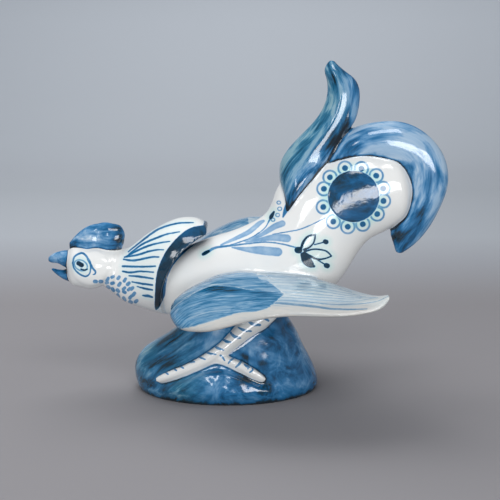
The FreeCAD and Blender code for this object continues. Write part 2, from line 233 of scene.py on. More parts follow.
def fix_in_place(piece):
    """Closes the hidden faces of the joints and fixes the piece to the figure."""
    mesh = bmesh.new()
    mesh.from_mesh(piece.data)
    facing = mesh.verts.layers.float_vector["soft_normal"]
    waiting = {edge for edge in mesh.edges if len(edge.link_faces) == 1}
    while waiting:
        loop, ends = [], [waiting.pop()]
        while ends:
            edge = ends.pop()
            loop.append(edge)
            ahead = {other for vert in edge.verts for other in vert.link_edges} & waiting
            waiting -= ahead
            ends.extend(ahead)
        under = bmesh.ops.extrude_edge_only(mesh, edges=loop)["geom"]
        for vert in [item for item in under if isinstance(item, bmesh.types.BMVert)]:
            vert.co -= Vector(vert[facing]).normalized() * hidden_edge
        rim = [item for item in under if isinstance(item, bmesh.types.BMEdge)]
        bmesh.ops.triangle_fill(mesh, use_beauty=False, use_dissolve=False, edges=rim)
    mesh.to_mesh(piece.data)
    mesh.free()
    piece.data.shade_smooth()
    normals = read_field(piece, "soft_normal", 3)
    normals /= np.maximum(np.linalg.norm(normals, axis=1), 1e-9)[:, None]
    piece.data.normals_split_custom_set_from_vertices(normals.tolist())
    for name in ("soft_normal", "joint"):
        piece.data.attributes.remove(piece.data.attributes[name])
    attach(piece, "root")
    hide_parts(piece["node"])
    return piece


# The rock mound. A slip casting modelled as soft rock, washed all over with cobalt that pools darker in
# the hollows, then dipped in clear glaze. The brushwork of every part is laid out on a side view: places
# are steps of 0.85 mm across and down from its upper left corner, and a brush line also has half widths.
view_tilt = math.radians(13.5)
view_distance = 1.0
view_middle = np.array([0.018356, 0.0, 0.121354])
view_step = 0.00085
brush_reach = 14.0


def side_view(piece, unlift=None):
    """Place of each point on the side view, and how squarely it faces that view."""
    points = positions(piece)
    normals = read_field(piece, "soft_normal", 3)
    if unlift is not None:
        points, normals = unlift(points, normals)
    mirror = np.where(points[:, 1] > 0, -1.0, 1.0)
    points[:, 1] *= mirror
    normals[:, 1] *= mirror
    back = np.array([0.0, -math.cos(view_tilt), math.sin(view_tilt)])
    right = np.array([1.0, 0.0, 0.0])
    up = np.cross(back, right)
    away = points - (view_middle + back * view_distance)
    depth = -(away @ back) / (view_distance / view_step)
    place = np.stack([250 + away @ right / depth, 250 - away @ up / depth], 1)
    return place, normals @ back


def blot(place, across, down, wide, high, tilt=0):
    """A soft-edged blot of paint on the side view, 1 in its middle."""
    turn = math.radians(tilt)
    x, y = place[:, 0] - across, place[:, 1] - down
    u = (x * math.cos(turn) + y * math.sin(turn)) / wide
    v = (y * math.cos(turn) - x * math.sin(turn)) / high
    return np.exp(-(u * u + v * v))


def lay_wash(piece, place, base, *blots):
    """Keeps the strength of a wash: a base, with soft blots laid in or lifted out of it."""
    for *spot, strength in blots:
        base = base + strength * blot(place, *spot)
    write_field(piece, "wash", base)


def brush_line(*stops, steps=7):
    """A smooth brush line through stops of (across, down, half width)."""
    stops = np.array(stops, float)
    ends = np.concatenate([2 * stops[:1] - stops[1:2], stops, 2 * stops[-1:] - stops[-2:-1]])
    line = []
    for a, b, c, d in zip(ends, ends[1:], ends[2:], ends[3:]):
        for t in np.arange(steps) / steps:
            bend, twist = 2 * a - 5 * b + 4 * c - d, 3 * b - 3 * c + d - a
            line.append(0.5 * (2 * b + (c - a) * t + bend * t * t + twist * t ** 3))
    return np.array(line + [stops[-1]])


def brush_lines(*rows, share=1.0, more=0.0, steps=7):
    """Several brush lines, their half widths scaled and widened."""
    return [brush_line(*[(x, y, wide * share + more) for x, y, wide in stops], steps=steps) for stops in rows]


def lay_line(place, line, reach=brush_reach):
    """Gap to the edge of a brush line, length along it and distance across it, for each point."""
    gap = np.full(len(place), reach)
    along, across = np.zeros(len(place)), np.zeros(len(place))
    near = np.flatnonzero(((place > line[:, :2].min(0) - reach) & (place < line[:, :2].max(0) + reach)).all(1))
    start, step = line[:-1, :2], np.diff(line[:, :2], axis=0)
    length = np.maximum(np.hypot(*step.T), 1e-6)
    before = np.concatenate([[0], np.cumsum(length)[:-1]])
    for part in np.array_split(near, len(near) // 3000 + 1):
        away = place[part][:, None] - start
        share = np.clip((away * step).sum(2) / length ** 2, 0, 1)
        rest = away - share[..., None] * step
        edge = np.hypot(rest[..., 0], rest[..., 1]) - line[:-1, 2] - share * np.diff(line[:, 2])
        pick = edge.argmin(1)
        rows = np.arange(len(part))
        gap[part] = np.minimum(edge[rows, pick], reach)
        along[part] = before[pick] + share[rows, pick] * length[pick]
        x, y = away[rows, pick].T
        across[part] = (step[pick, 0] * y - step[pick, 1] * x) / length[pick]
    return gap, along, across


def turned_away(facing):
    """A wide gap for points that face away from the view and stay bare."""
    return np.clip(0.1 - facing, 0, 1) * 80


def lay_lines(place, facing, lines):
    """Gap to the nearest of several brush lines."""
    gap = np.full(len(place), brush_reach)
    for line in lines:
        gap = np.minimum(gap, lay_line(place, line)[0])
    return gap + turned_away(facing)


def lay_patch(place, *corners):
    """Gap to the edge of a closed patch of paint, below 0 inside it."""
    edge = brush_line(*[(x, y, 0) for x, y in corners + corners[:1]], steps=4)
    inside = np.zeros(len(place), bool)
    for (x, y, _), (next_x, next_y, _) in zip(edge, edge[1:]):
        if y != next_y:
            crossed = (y > place[:, 1]) != (next_y > place[:, 1])
            inside ^= crossed & (place[:, 0] < (next_x - x) * (place[:, 1] - y) / (next_y - y) + x)
    gap = lay_line(place, edge)[0]
    return np.where(inside, -gap, gap)


def keep_flow(piece, along, across, depth):
    """Keeps a place along and across a bend and through the clay, for strokes that follow it."""
    write_field(piece, "flow", np.stack([along, across, positions(piece)[:, 1] / view_step * depth], 1))


def keep_brushwork(piece, reach, lines, patches=(), more=None, unlift=None):
    """Divides the skin near brush edges, then keeps the gap to each edge at the piece's points."""
    for divided in (False, True):
        place, facing = side_view(piece, unlift)
        gaps = {name: lay_lines(place, facing, strokes) for name, strokes in lines.items()}
        gaps.update({name: lay_patch(place, *corners) for name, corners in patches})
        if more is not None:
            gaps.update(more(place, facing))
        if not divided:
            divide_near(piece, np.min([np.abs(values) for values in gaps.values()], axis=0), reach)
    for name, values in gaps.items():
        write_field(piece, name, np.clip(values, -brush_reach, brush_reach))


class Wire:
    """One socket of a glaze's node tree. Sums and products of wires add Math nodes."""

    def __init__(self, tree, socket=None):
        self.tree = tree
        self.socket = socket

    def node(self, kind, settings=None, sockets=None, out=0):
        """Adds a node: its settings first, then the values or wires of its sockets."""
        made = self.tree.nodes.new("ShaderNode" + kind)
        for name, value in (settings or {}).items():
            if name == "stops":
                first, *between, last = value
                elements = made.color_ramp.elements
                elements[0].position, elements[0].color = first[0], (*first[1], 1)
                elements[1].position, elements[1].color = last[0], (*last[1], 1)
                for place, colour in between:
                    elements.new(place).color = (*colour, 1)
            else:
                setattr(made, name, value)
        for name, value in (sockets or {}).items():
            if isinstance(value, Wire):
                self.tree.links.new(value.socket, made.inputs[name])
            else:
                made.inputs[name].default_value = value
        return Wire(self.tree, made.outputs[out] if made.outputs else None)

    def maths(self, operation, *values):
        return self.node("Math", {"operation": operation}, dict(enumerate(values)))

    def __add__(self, other):
        return self.maths("ADD", self, other)

    __radd__ = __add__

    def __sub__(self, other):
        return self.maths("SUBTRACT", self, other)

    def __rsub__(self, other):
        return self.maths("SUBTRACT", other, self)

    def __mul__(self, other):
        return self.maths("MULTIPLY", self, other)

    __rmul__ = __mul__

    def least(self, other):
        return self.maths("MINIMUM", self, other)

    def most(self, other):
        return self.maths("MAXIMUM", self, other)

    def fade(self, start, end):
        """0 at start, 1 at end, smooth between."""
        return self.node("MapRange", {"interpolation_type": "SMOOTHSTEP"},
                         {"Value": self, "From Min": start, "From Max": end})

    def field(self, name, out=2):
        """A number kept at the points of the piece, or with out=1 a place."""
        return self.node("Attribute", {"attribute_name": name}, out=out)

    def stroke(self, name, wobble, soft, depth):
        """Paint of some depth inside the brush edges of a field, with a soft and wobbly edge."""
        return (self.field(name) + wobble).fade(soft, -soft) * depth

    def cloud(self, scale, detail=3.0, rough=0.55, twist=0.0, place=None, stretch=(1, 1, 1), turn=(0, 0, 0)):
        """Soft noise about 0, from -0.5 to 0.5, in the clay or in a place of its own."""
        if place is None:
            place = self.node("TexCoord", out=3)
        place = self.node("Mapping", {}, {"Vector": place, "Rotation": turn, "Scale": stretch})
        sockets = {"Vector": place, "Scale": scale, "Detail": detail, "Roughness": rough, "Distortion": twist}
        return self.node("TexNoise", {}, sockets) - 0.5

    def tint(self, amount, shade):
        """This colour through a film of another one, as much of it as amount says."""
        return self.node("Mix", {"data_type": "RGBA", "blend_type": "MULTIPLY"},
                         {0: amount, 6: self, 7: (*shade, 1)}, out=2)

    def blend(self, first, second):
        """Colour first where this wire is 0, second where it is 1."""
        return self.node("Mix", {"data_type": "RGBA"}, {0: self, 6: first, 7: second}, out=2)


cobalt_stops = (
    (0.0, (0.69, 0.697, 0.682)),
    (0.15, (0.47, 0.565, 0.64)),
    (0.3, (0.228, 0.368, 0.525)),
    (0.45, (0.094, 0.24, 0.42)),
    (0.6, (0.018, 0.134, 0.295)),
    (0.75, (0.002, 0.074, 0.185)),
    (0.88, (0.0018, 0.029, 0.058)),
    (1.0, (0.001, 0.009, 0.018)),
)


def new_glaze(piece, title):
    """Gives a piece an empty glaze, and returns the pen that draws its node tree."""
    glaze = bpy.data.materials.new(title)
    glaze.use_nodes = True
    glaze.node_tree.nodes.clear()
    piece.data.materials.append(glaze)
    return Wire(glaze.node_tree)


def cobalt(pen, strength):
    """Colour of cobalt under clear glaze, from bare white at 0 to blue black at 1."""
    return pen.node("ValToRGB", {"stops": cobalt_stops}, {"Fac": strength})


def glost_fire(pen, colour, relief=None, relief_depth=0.0):
    """Clear glaze over the painted clay: a glassy coat with a faint wave, pits and a little dust."""
    wave = pen.cloud(38.0, detail=1.0)
    pits = pen.cloud(620.0, detail=1.0).fade(0.2, 0.36)
    height = wave * 0.9 - pits * 0.05
    if relief is not None:
        height = height + relief * relief_depth
    bump = pen.node("Bump", {}, {"Strength": 0.55, "Distance": 0.001, "Height": height})
    rough = 0.075 + pen.cloud(55.0, detail=4.0).fade(-0.05, 0.35) * 0.07 + pits * 0.12
    shader = pen.node("BsdfPrincipled", {}, {"Base Color": colour, "Roughness": rough, "IOR": 1.5,
                                             "Specular IOR Level": 0.85, "Normal": bump})
    pen.node("OutputMaterial", {}, {"Surface": shader})


def paint_pools(pen, reach=2.2):
    """Paint and glaze gather in the fillet of a joint."""
    return pen.field("joint_gap").fade(reach, 0.2)


lobe_edge = (
    (156, 393), (171, 386.5), (190, 379), (204, 374), (217, 372), (230, 374), (245, 379.5),
    (258, 386), (272, 389), (277, 396), (262, 410), (215, 415), (165, 410))
mound = cut_casting("base_rock", "rock_mound")
place = side_view(mound)[0]
places = positions(mound)
foot = np.clip((places[:, 2] - 0.004) / 0.008, 0, 1)
lobe = 2.6 * np.clip(0.5 - lay_patch(place, *lobe_edge) / 5.0, 0, 1) + blot(place, 292, 378, 20, 16) * 0.8
knobs = np.array([noise.noise(Vector(spot) * 26.0) * 1.1 + noise.noise(Vector(spot) * 60.0) * 0.45
                  for spot in places.tolist()])
ripples = np.array([noise.noise(Vector(spot) * 120.0) for spot in places.tolist()])
swell(mound, (lobe + knobs + ripples * np.clip(lobe, 0.3, 1) * 0.55) * foot)
place = side_view(mound)[0]
lay_wash(
    mound, place, 0.64 + 0.42 * np.exp(-(positions(mound)[:, 2] / 0.0034) ** 2),
    (170, 344, 17, 8, -28, 0.16), (163, 361, 15, 7, -18, 0.2), (203, 331, 8, 8, 0, 0.26),
    (150, 366, 7, 9, 20, 0.1), (150, 383, 9, 5, 20, 0.3), (146, 350, 12, 7, -20, -0.2),
    (140, 366, 4, 12, 10, -0.16), (190, 327, 9, 5, -15, -0.1), (217, 332, 9, 8, 0, -0.2),
    (206, 344, 7, 5, -30, -0.14), (160, 352, 10, 2.5, -30, -0.12), (283, 325, 9, 9, 30, 0.22),
    (272, 337, 7, 6, -30, 0.2), (263, 343, 4, 4, 0, 0.16), (258, 345, 8, 7, 0, -0.1),
    (280, 362, 3, 9, 8, -0.12), (304, 352, 5, 22, -18, -0.16), (284, 352, 10, 12, 0, 0.06),
    (250, 352, 14, 3, 20, -0.12), (252, 359, 16, 2.4, 25, 0.16), (300, 385, 10, 6, 0, -0.16),
    (296, 366, 6, 8, 0, 0.08), (216, 371, 10, 4, 0, 0.12), (246, 379, 9, 7, 0, 0.22),
    (236, 373, 4, 6, 0, 0.16), (205, 380, 12, 7, 0, -0.12), (190, 386, 14, 6, -10, -0.05),
    (228, 384, 8, 7, 0, -0.1), (262, 388, 10, 6, 0, 0.08), (281, 383, 9, 6, 0, -0.14))
write_field(mound, "left", np.clip((214 - place[:, 0]) / 34, 0, 1))
slope = math.radians(-33)
keep_flow(mound, place[:, 0] * math.cos(slope) + place[:, 1] * math.sin(slope),
          place[:, 1] * math.cos(slope) - place[:, 0] * math.sin(slope), 0.7)

pen = new_glaze(mound, "cobalt_washed_rock_glaze")
flow = pen.field("flow", out=1)
strokes = pen.cloud(0.15, detail=5.0, rough=0.62, twist=0.5, place=flow, stretch=(0.22, 1, 1))
swirls = pen.cloud(46.0, detail=5.0, rough=0.6, twist=1.8)
clouds = pen.cloud(23.0, twist=0.8)
bend = pen.cloud(30.0, twist=1.2)
veins = (bend.most(bend * -1.0)).fade(0.075, 0.0) * (0.1 + swirls * 0.5)
left = pen.field("left")
strength = pen.field("wash") + left * strokes * 1.35 + (1.0 - left) * (swirls * 1.05 - veins) + clouds * 0.34
strength = strength + paint_pools(pen) * 0.22
glost_fire(pen, cobalt(pen, strength).tint(left * (0.55 + clouds * 1.6), (0.95, 0.95, 0.66)))
fix_in_place(mound)

# The legs. Each is a relief on a flank of the mound: a thigh that comes out under the body, a
# shank, a front toe and a rear toe, left white, with short cobalt dabs brushed across them.
leg_dabs = brush_lines(
    ((259.5, 315.6, 0.6), (263.5, 317.6, 1), (268.5, 320.6, 0.7)),
    ((248, 321, 0.6), (253, 324.2, 1.1), (260, 325, 0.7)),
    ((238.5, 327.6, 0.5), (244, 330.2, 0.9), (251, 331.2, 0.5)),
    ((230.5, 332.6, 0.7), (234.5, 336.6, 1.1), (240.5, 338, 0.6)),
    ((222, 338.8, 0.6), (226, 341.2, 1), (231, 342.2, 0.6)),
    ((214, 345.8, 0.5), (218, 348.2, 0.9), (223.5, 350, 0.5)),
    ((204.2, 351.2, 0.5), (209, 353.2, 0.7), (216, 354.4, 0.4)),
    ((195.6, 355.8, 0.4), (200, 357.4, 0.6), (205.2, 359.4, 0.4)),
    ((186.4, 359.6, 0.7), (189.5, 361.4, 1), (194.4, 361.8, 0.5)),
    ((179, 364.4, 0.5), (181, 366.6, 0.7), (183.4, 368, 0.5)),
    ((170.4, 364.6, 0.5), (173, 367.8, 0.8), (176.6, 370.6, 0.5)),
    ((162, 368.6, 0.5), (164.4, 371.4, 0.7), (168, 374.2, 0.5)),
    ((220.4, 355.4, 0.7), (222.4, 357, 0.7), (224.6, 360.4, 0.5)),
    ((233.4, 358.6, 0.5), (230.6, 360.4, 0.7), (228.4, 363.4, 0.4)),
    ((241.6, 360.2, 0.6), (239.6, 363.6, 0.8), (235.8, 367.2, 0.4)),
    ((244.6, 364.6, 0.5), (246.8, 366.4, 0.7), (249.6, 367.2, 0.4)),
    ((247, 362.2, 0.4), (247.6, 365.2, 0.6), (248, 368.8, 0.4)),
    ((252.4, 367.6, 0.4), (252.6, 370, 0.6), (249.8, 372.4, 0.4)), share=1.35, more=0.15, steps=4)
for node, title in (("left_leg", "left_leg_relief"), ("right_leg", "right_leg_relief")):
    leg = cut_casting(node, title)
    keep_brushwork(leg, 1.8, {"line_gap": leg_dabs})
    pen = new_glaze(leg, title.replace("relief", "glaze"))
    edge = pen.field("line_gap") + pen.cloud(420.0) * 0.9
    dab = edge.fade(0.35, -0.35) * (0.5 + pen.cloud(160.0) * 0.5)
    rim = pen.field("joint_gap").fade(1.1, 0.1) * (0.3 + pen.cloud(90.0) * 0.5).most(0)
    haze = pen.cloud(60.0).fade(-0.1, 0.4) * 0.03
    glost_fire(pen, cobalt(pen, dab.most(rim) + haze))
    fix_in_place(leg)

# The body. A slip-cast hollow torso that sweeps up into the tail lobe, left white. A leaf spray, a
# bud and a ring flower, a common ornament of blue and white pottery, are brushed on each side.
spray_stem = brush_lines(
    ((203.4, 253.9, 1.1), (209, 251, 1.5), (216.8, 247.4, 1.2), (235.9, 245.1, 0.9), (251.2, 243.2, 0.8),
     (266.5, 242.1, 0.7), (281.8, 244, 0.7), (295.6, 247.4, 0.8)),
    ((228.3, 245.9, 0.7), (248.1, 239, 0.6), (258.9, 232.9, 0.6), (265.7, 226.8, 0.6), (269.6, 219.9, 0.8)),
    ((272.6, 234.4, 0.6), (289.5, 231.4, 0.6), (299.7, 229.4, 0.6), (311.2, 224.8, 0.6), (325, 218, 0.6)))
spray_black = brush_lines(
    ((203.2, 254.2, 1.2), (205.6, 252.8, 1.5), (208.6, 251.2, 1.2)),
    ((270.4, 218.2, 1.1), (271.6, 216, 1.6), (273.9, 212, 0.8)),
    ((297.6, 250, 2.6), (299, 250.2, 2.7)),
    ((325.2, 241.6, 1.9), (326.2, 242, 1.9)),
    ((326.2, 265.4, 2), (327.4, 265.8, 2)),
    ((314.6, 244.6, 0.4), (320, 243.2, 0.45), (325, 241.8, 0.5)),
    ((313.2, 257.2, 0.4), (320, 261.4, 0.45), (326, 265, 0.5)),
    ((301.2, 248.2, 1), (303.4, 241.6, 1), (307.5, 236.8, 0.8), (311.5, 235.2, 0.7), (315.3, 234.4, 0.5)),
    ((315.3, 234.4, 0.5), (314.8, 239, 0.6), (313.2, 243.4, 0.6), (309, 247.6, 0.7), (304, 249.6, 0.9)),
    ((304.6, 251.4, 0.7), (314, 249.2, 0.6), (323.7, 250.2, 0.6), (328.2, 252.6, 0.6), (331.4, 256.1, 0.5)),
    ((331.4, 256.1, 0.5), (325.6, 258.4, 0.6), (318, 259.3, 0.7), (311, 256.6, 0.9), (304, 252.8, 1)),
    ((302.6, 254.6, 1.8), (305.4, 260.6, 2.8), (309.6, 264.6, 2.3), (314, 266.2, 1)),
    ((305.4, 256.6, 1.8), (309, 260, 1.9), (312.4, 263.6, 1.2)), share=1.2, more=0.1, steps=4)
ring_dots = [brush_line((x - 0.3, y, r), (x + 0.3, y, r), steps=1) for x, y, r in (
    (273, 219.7, 0.9), (277.6, 215, 1), (279.7, 208.8, 1.1), (278.8, 202.6, 0.9))]
spray_leaves = brush_lines(
    ((220.6, 245.1, 0.8), (235.9, 238.3, 1.9), (249.7, 231.4, 2.5), (258.9, 223.7, 2.3), (263.6, 220.9, 1.3)),
    ((244, 241, 0.7), (258.9, 236, 1.8), (274.2, 226.8, 3), (282.6, 223.4, 3.1)),
    ((246, 242, 0.8), (258.9, 239.8, 1.8), (274.2, 237.5, 3.4), (287.2, 238.4, 3.9)),
    ((232.1, 247.4, 0.8), (246, 249.4, 2.4), (260.9, 250.4, 4.2), (278, 252, 4.3)))
flower_middle = (353.6, 196.4)
flower_core, petal_size, dot_size = 25.7, 6.7, 2.9
flower_dots = ((330, 177.3), (345, 168.1), (361.5, 168.7), (376.2, 175.7), (383.2, 188.5), (383.5, 200.9),
               (377.2, 214), (362.8, 224.2), (347.8, 226.7), (333.2, 221.6), (323.3, 207), (323.9, 188.8))

collar_paint = (
    (203.4, 225.2), (191.8, 227.4), (181.6, 233.6), (170.8, 244.6), (163.1, 256.4), (157.9, 269.2),
    (155.7, 281.2), (154.9, 297), (154.6, 306), (155.9, 309.8), (158.6, 308.2), (161.6, 302.6),
    (165.2, 294.3), (165.9, 285.7), (168.2, 275.7), (173, 265.7), (181.4, 255.7), (191.4, 247.1),
    (200, 241.2), (209, 237), (212, 230), (211.5, 219.5), (204.6, 218.5))
plume_root = [brush_line((288.5, 205, 3.2), (285.4, 211, 2.2), (283, 217, 0.7))]

torso = cut_casting("body_shell", "torso_and_tail_lobe")


def flower_gaps(place, facing):
    """Gaps to the core of the flower, its dots and its scalloped outline."""
    core = np.hypot(place[:, 0] - flower_middle[0], place[:, 1] - flower_middle[1]) - flower_core
    away = np.array([np.hypot(place[:, 0] - x, place[:, 1] - y) for x, y in flower_dots])
    gap = np.minimum(brush_reach, (np.abs(away - petal_size) - 1.0).min(0))
    inside = away.min(0)
    gap = np.where(inside < 5.6, np.abs(inside - petal_size) - 1.0, gap)
    gap = np.maximum(gap, 0.6 - core)
    rings = lay_lines(place, facing, ring_dots)
    return {"dot_gap": np.maximum(inside - dot_size, -core) + turned_away(facing),
            "core_gap": core + turned_away(facing),
            "petal_gap": np.minimum(gap + turned_away(facing), np.abs(rings - 0.6) - 0.6)}


keep_brushwork(torso, 2.0, {"stem_gap": spray_stem, "black_gap": spray_black, "root_gap": plume_root,
                            "leaf_gap": spray_leaves}, [("collar_gap", collar_paint)], flower_gaps)

pen = new_glaze(torso, "white_body_glaze")
wobble = pen.cloud(330.0, detail=2.0) * 0.8
tone = pen.cloud(120.0, detail=4.0, rough=0.6)
stem = pen.stroke("stem_gap", wobble, 0.4, 0.5 + tone * 0.4)
black = pen.stroke("black_gap", wobble * 0.6, 0.4, 0.9 + tone * 0.3)
leaf_edge = pen.field("leaf_gap") + wobble
leaf = leaf_edge.fade(0.5, -0.5) * (0.35 + tone * 0.35 - leaf_edge.fade(0.0, -3.0) * 0.05)
petal = pen.stroke("petal_gap", wobble * 0.7, 0.5, 0.43 + tone * 0.5)
core_edge = pen.field("core_gap") + wobble
core_cloud = pen.cloud(90.0, detail=4.0, rough=0.6, twist=0.8, stretch=(0.45, 1, 1), turn=(0, -0.5, 0))
core_tone = 0.8 + core_cloud * 0.9
core = core_edge.fade(0.6, -0.6) * core_tone
core_halo = pen.field("core_gap").fade(12.0, 2.0) * pen.field("core_gap").fade(-1.0, 1.0)
halo = (pen.field("black_gap").fade(7.0, 0.0) * 0.6).most(core_halo)
collar = pen.stroke("collar_gap", wobble, 0.6, 0.72 + tone * 0.4)
dots = pen.stroke("dot_gap", wobble, 0.5, 0.7 + tone * 0.4)
root = pen.stroke("root_gap", wobble, 0.5, 0.62 + tone * 0.4)
rump = paint_pools(pen, reach=1.6) * 0.1
haze = pen.cloud(26.0, detail=2.0).fade(-0.1, 0.4) * 0.035
strength = stem.most(black).most(leaf).most(petal).most(dots).most(core).most(collar).most(root)
strength = strength.most(haze + rump)
colour = cobalt(pen, strength)
turquoise = colour.tint(halo, (0.7, 0.97, 0.95))
speck = pen.cloud(900.0, detail=1.0).fade(0.24, 0.34) * 0.25
crust = core_edge.fade(0.0, -2.0) * (pen.cloud(150.0, twist=0.6) * 0.9 + core_tone * 0.5)
glost_fire(pen, speck.blend(turquoise, (0.42, 0.4, 0.36, 1)), relief=crust, relief_depth=0.42)
fix_in_place(torso)

# The neck cape. A hollow casting whose hackle feathers stand up to a thick rear rim. The rim's
# crest stays white and its bevel carries a dark cobalt collar; thin lines follow the hackles.
rim_crest = brush_line(
    (207, 225.2, 0), (204, 225.3, 0), (191.8, 227.2, 0), (181.1, 234.1, 0), (170.4, 244.8, 0),
    (163.5, 254.7, 0), (158.1, 266.2, 0), (155.5, 275.4, 0), (154.3, 285.3, 0), (153.9, 296.8, 0),
    (153.9, 307.5, 0), (154.2, 316, 0))
hackles = brush_lines(
    ((128.3, 251.7, 0.5), (142.8, 240.2, 0.8), (156.6, 230.2, 0.9), (168.9, 225.3, 0.8), (180.3, 223, 0.7),
     (193.3, 222.6, 0.4)),
    ((129, 254, 0.5), (142.8, 244, 0.8), (156.6, 237.9, 0.9), (167.3, 234.1, 0.7), (179.4, 231.8, 0.4)),
    ((125.2, 257, 0.6), (136.7, 250.9, 0.9), (149, 245.6, 0.9), (159.7, 242.9, 0.7), (169.8, 241.4, 0.4)),
    ((124.5, 257.2, 0.6), (138.3, 254.7, 0.9), (149, 251.3, 0.8), (157.4, 249.8, 0.7), (163.4, 249.8, 0.4)),
    ((123.7, 259.3, 0.7), (132.9, 260.5, 1), (142.8, 258.9, 0.9), (152, 257, 0.8), (158.8, 257, 0.5)),
    ((122.6, 266.2, 0.9), (132.9, 266.6, 0.9), (146, 266.6, 0.8), (155.2, 266.2, 0.6)),
    ((122.6, 271.4, 0.7), (130.6, 272.5, 0.9), (139.8, 271.4, 0.8), (153.4, 272.2, 0.6)),
    ((129.1, 275.8, 0.5), (138.3, 276.5, 0.9), (153, 278.6, 0.7)),
    ((132.1, 281.9, 0.5), (142.8, 283.8, 0.9), (152.4, 285, 0.7)),
    ((137.1, 286.5, 0.5), (145.9, 288.8, 0.9), (152.4, 289.9, 0.7)),
    ((142.6, 295.4, 0.5), (147.6, 295.9, 1.3), (152.4, 297.2, 0.7)))
breast_dabs = [brush_line((x - 0.7, y + s * 0.8, r + 0.4), (x + 0.7, y - s * 0.8, r + 0.25), steps=1)
               for x, y, r, s in (
    (95.5, 281.5, 1.6, 0), (101, 281.5, 1.5, 0), (107.6, 279.4, 1.3, 1.6), (112.6, 276.9, 1.3, 0.5),
    (118.7, 277.7, 1.3, 1), (124.9, 280, 1.3, 1.4), (107, 282.9, 1.2, 0.2), (112.6, 283.2, 1.5, 0.2),
    (119.5, 284.2, 1.4, 1.2), (128.3, 283.8, 1.5, 0.9), (108.4, 287.2, 1.4, -0.6), (113, 289.7, 1.4, -1.2),
    (118, 290.7, 1.4, -0.9), (124.1, 288.4, 1.3, 0.9), (124.4, 292, 1.4, -0.6), (132.1, 288.4, 1.5, 0.8),
    (118.3, 295.9, 1.2, -1.5), (133.9, 294, 1.4, 1.2), (130.6, 297, 1.4, 1.2), (124.3, 299, 1.3, -1.5),
    (130.7, 302, 1.5, -0.4), (136.2, 301.2, 1.5, 0.6), (129, 289.2, 1.2, 1))]


cape = cut_casting("neck_cape", "hackle_cape")
place, facing = side_view(cape)
gap, along, across = lay_line(place, rim_crest, reach=40.0)
behind = -np.sign(across) * gap
flare = np.where(behind < 0, np.exp(-(behind / 11.0) ** 2), np.clip(1 - behind / 12.5, 0, 1))
low_end = np.clip((312 - place[:, 1]) / 18, 0, 1)
swell(cape, 2.0 * flare * np.clip(facing * 3 + 0.9, 0, 1) * low_end, (0.1, 1, 0.1))
place = side_view(cape)[0]
worn_corner = blot(place, 210, 217.5, 8, 7)[:, None] * np.array([-0.003, 0.0, -0.0052])
cape.data.vertices.foreach_set("co", (positions(cape) + worn_corner).ravel())
keep_brushwork(cape, 1.9, {"line_gap": hackles, "dab_gap": breast_dabs}, [("collar_gap", collar_paint)])
place = side_view(cape)[0]
write_field(cape, "depth_of_collar", 0.84 + 0.12 * np.clip((place[:, 1] - 235) / 45, 0, 1))

pen = new_glaze(cape, "hackle_cape_glaze")
wobble = pen.cloud(330.0, detail=2.0) * 0.8
tone = pen.cloud(120.0, detail=4.0, rough=0.6)
line = (pen.field("line_gap") - 0.18 + wobble).fade(0.4, -0.4) * (0.66 + tone * 0.5)
dab = pen.stroke("dab_gap", wobble, 0.4, 0.45 + tone * 0.5)
mottle = pen.cloud(75.0, detail=4.0, rough=0.6, twist=0.6)
collar = pen.stroke("collar_gap", wobble * 0.8, 0.5, pen.field("depth_of_collar") + mottle * 0.42)
halo = pen.field("line_gap").fade(5.0, 0.0) * 0.45
haze = pen.cloud(26.0, detail=2.0).fade(-0.1, 0.4) * 0.035
colour = cobalt(pen, line.most(dab).most(collar).most(haze))
glost_fire(pen, colour.tint(halo, (0.74, 0.97, 0.97)))
fix_in_place(cape)

# The head. A hollow casting with a cheek disc pressed proud under the comb and a small ear knob.
# It is left white, and the almond eye is brushed on with a heavy upper lid.
eye_lines = brush_lines(
    ((72.9, 262.4, 0.7), (74.6, 256.6, 0.8), (80.8, 253.1, 0.9), (84.9, 254.6, 0.9), (88.7, 259.8, 0.9),
     (92.2, 267.4, 0.9), (95.3, 271.2, 0.8), (95, 273.8, 0.6), (93.2, 274.6, 0.4)),
    ((72.7, 262.6, 0.7), (74.2, 268.4, 0.7), (79, 273.6, 0.7), (85.3, 276.4, 0.7), (89.4, 273.8, 0.6),
     (90.6, 268.8, 0.6), (90.2, 264.4, 0.6), (87.6, 259.6, 0.6)))
eye_ring = [brush_line(*[(80.9 + 6.9 * math.cos(t) * math.cos(0.5) - 5.0 * math.sin(t) * math.sin(0.5),
                          265.3 + 6.9 * math.cos(t) * math.sin(0.5) + 5.0 * math.sin(t) * math.cos(0.5), 0.75)
                         for t in np.linspace(0, 2 * math.pi, 13)])]
eye_pupil = [brush_line((78.4, 263.2, 2.2), (81.6, 265, 2.3), steps=3),
             brush_line((81, 269.2, 0.7), (84.4, 270.2, 0.9), (87.4, 269, 0.6), steps=3)]
head = cut_casting("head", "head_and_cheeks")
place, facing = side_view(head)
cheek = np.clip(1.15 - np.hypot((place[:, 0] - 90.5) / 17.5, (place[:, 1] - 267.0) / 17.0), 0, 0.16) / 0.16
ear = blot(place, 113.4, 258, 3.2, 3.4)
swell(head, (0.75 * cheek + 0.8 * ear) * np.clip(facing * 2, 0, 1))
keep_brushwork(head, 2.4, {"line_gap": eye_lines, "ring_gap": eye_ring, "pupil_gap": eye_pupil,
                           "dab_gap": breast_dabs})
pen = new_glaze(head, "head_glaze")
wobble = pen.cloud(420.0, detail=2.0) * 0.6
tone = pen.cloud(160.0, detail=4.0, rough=0.6)
line = (pen.field("line_gap") - 0.15 + wobble).fade(0.4, -0.4) * (0.58 + tone * 0.5)
ring = pen.stroke("ring_gap", wobble, 0.4, 0.4 + tone * 0.4)
pupil = (pen.field("pupil_gap") + wobble).fade(0.5, -0.4) * (0.92 + tone * 0.3)
dab = pen.stroke("dab_gap", wobble, 0.4, 0.45 + tone * 0.5)
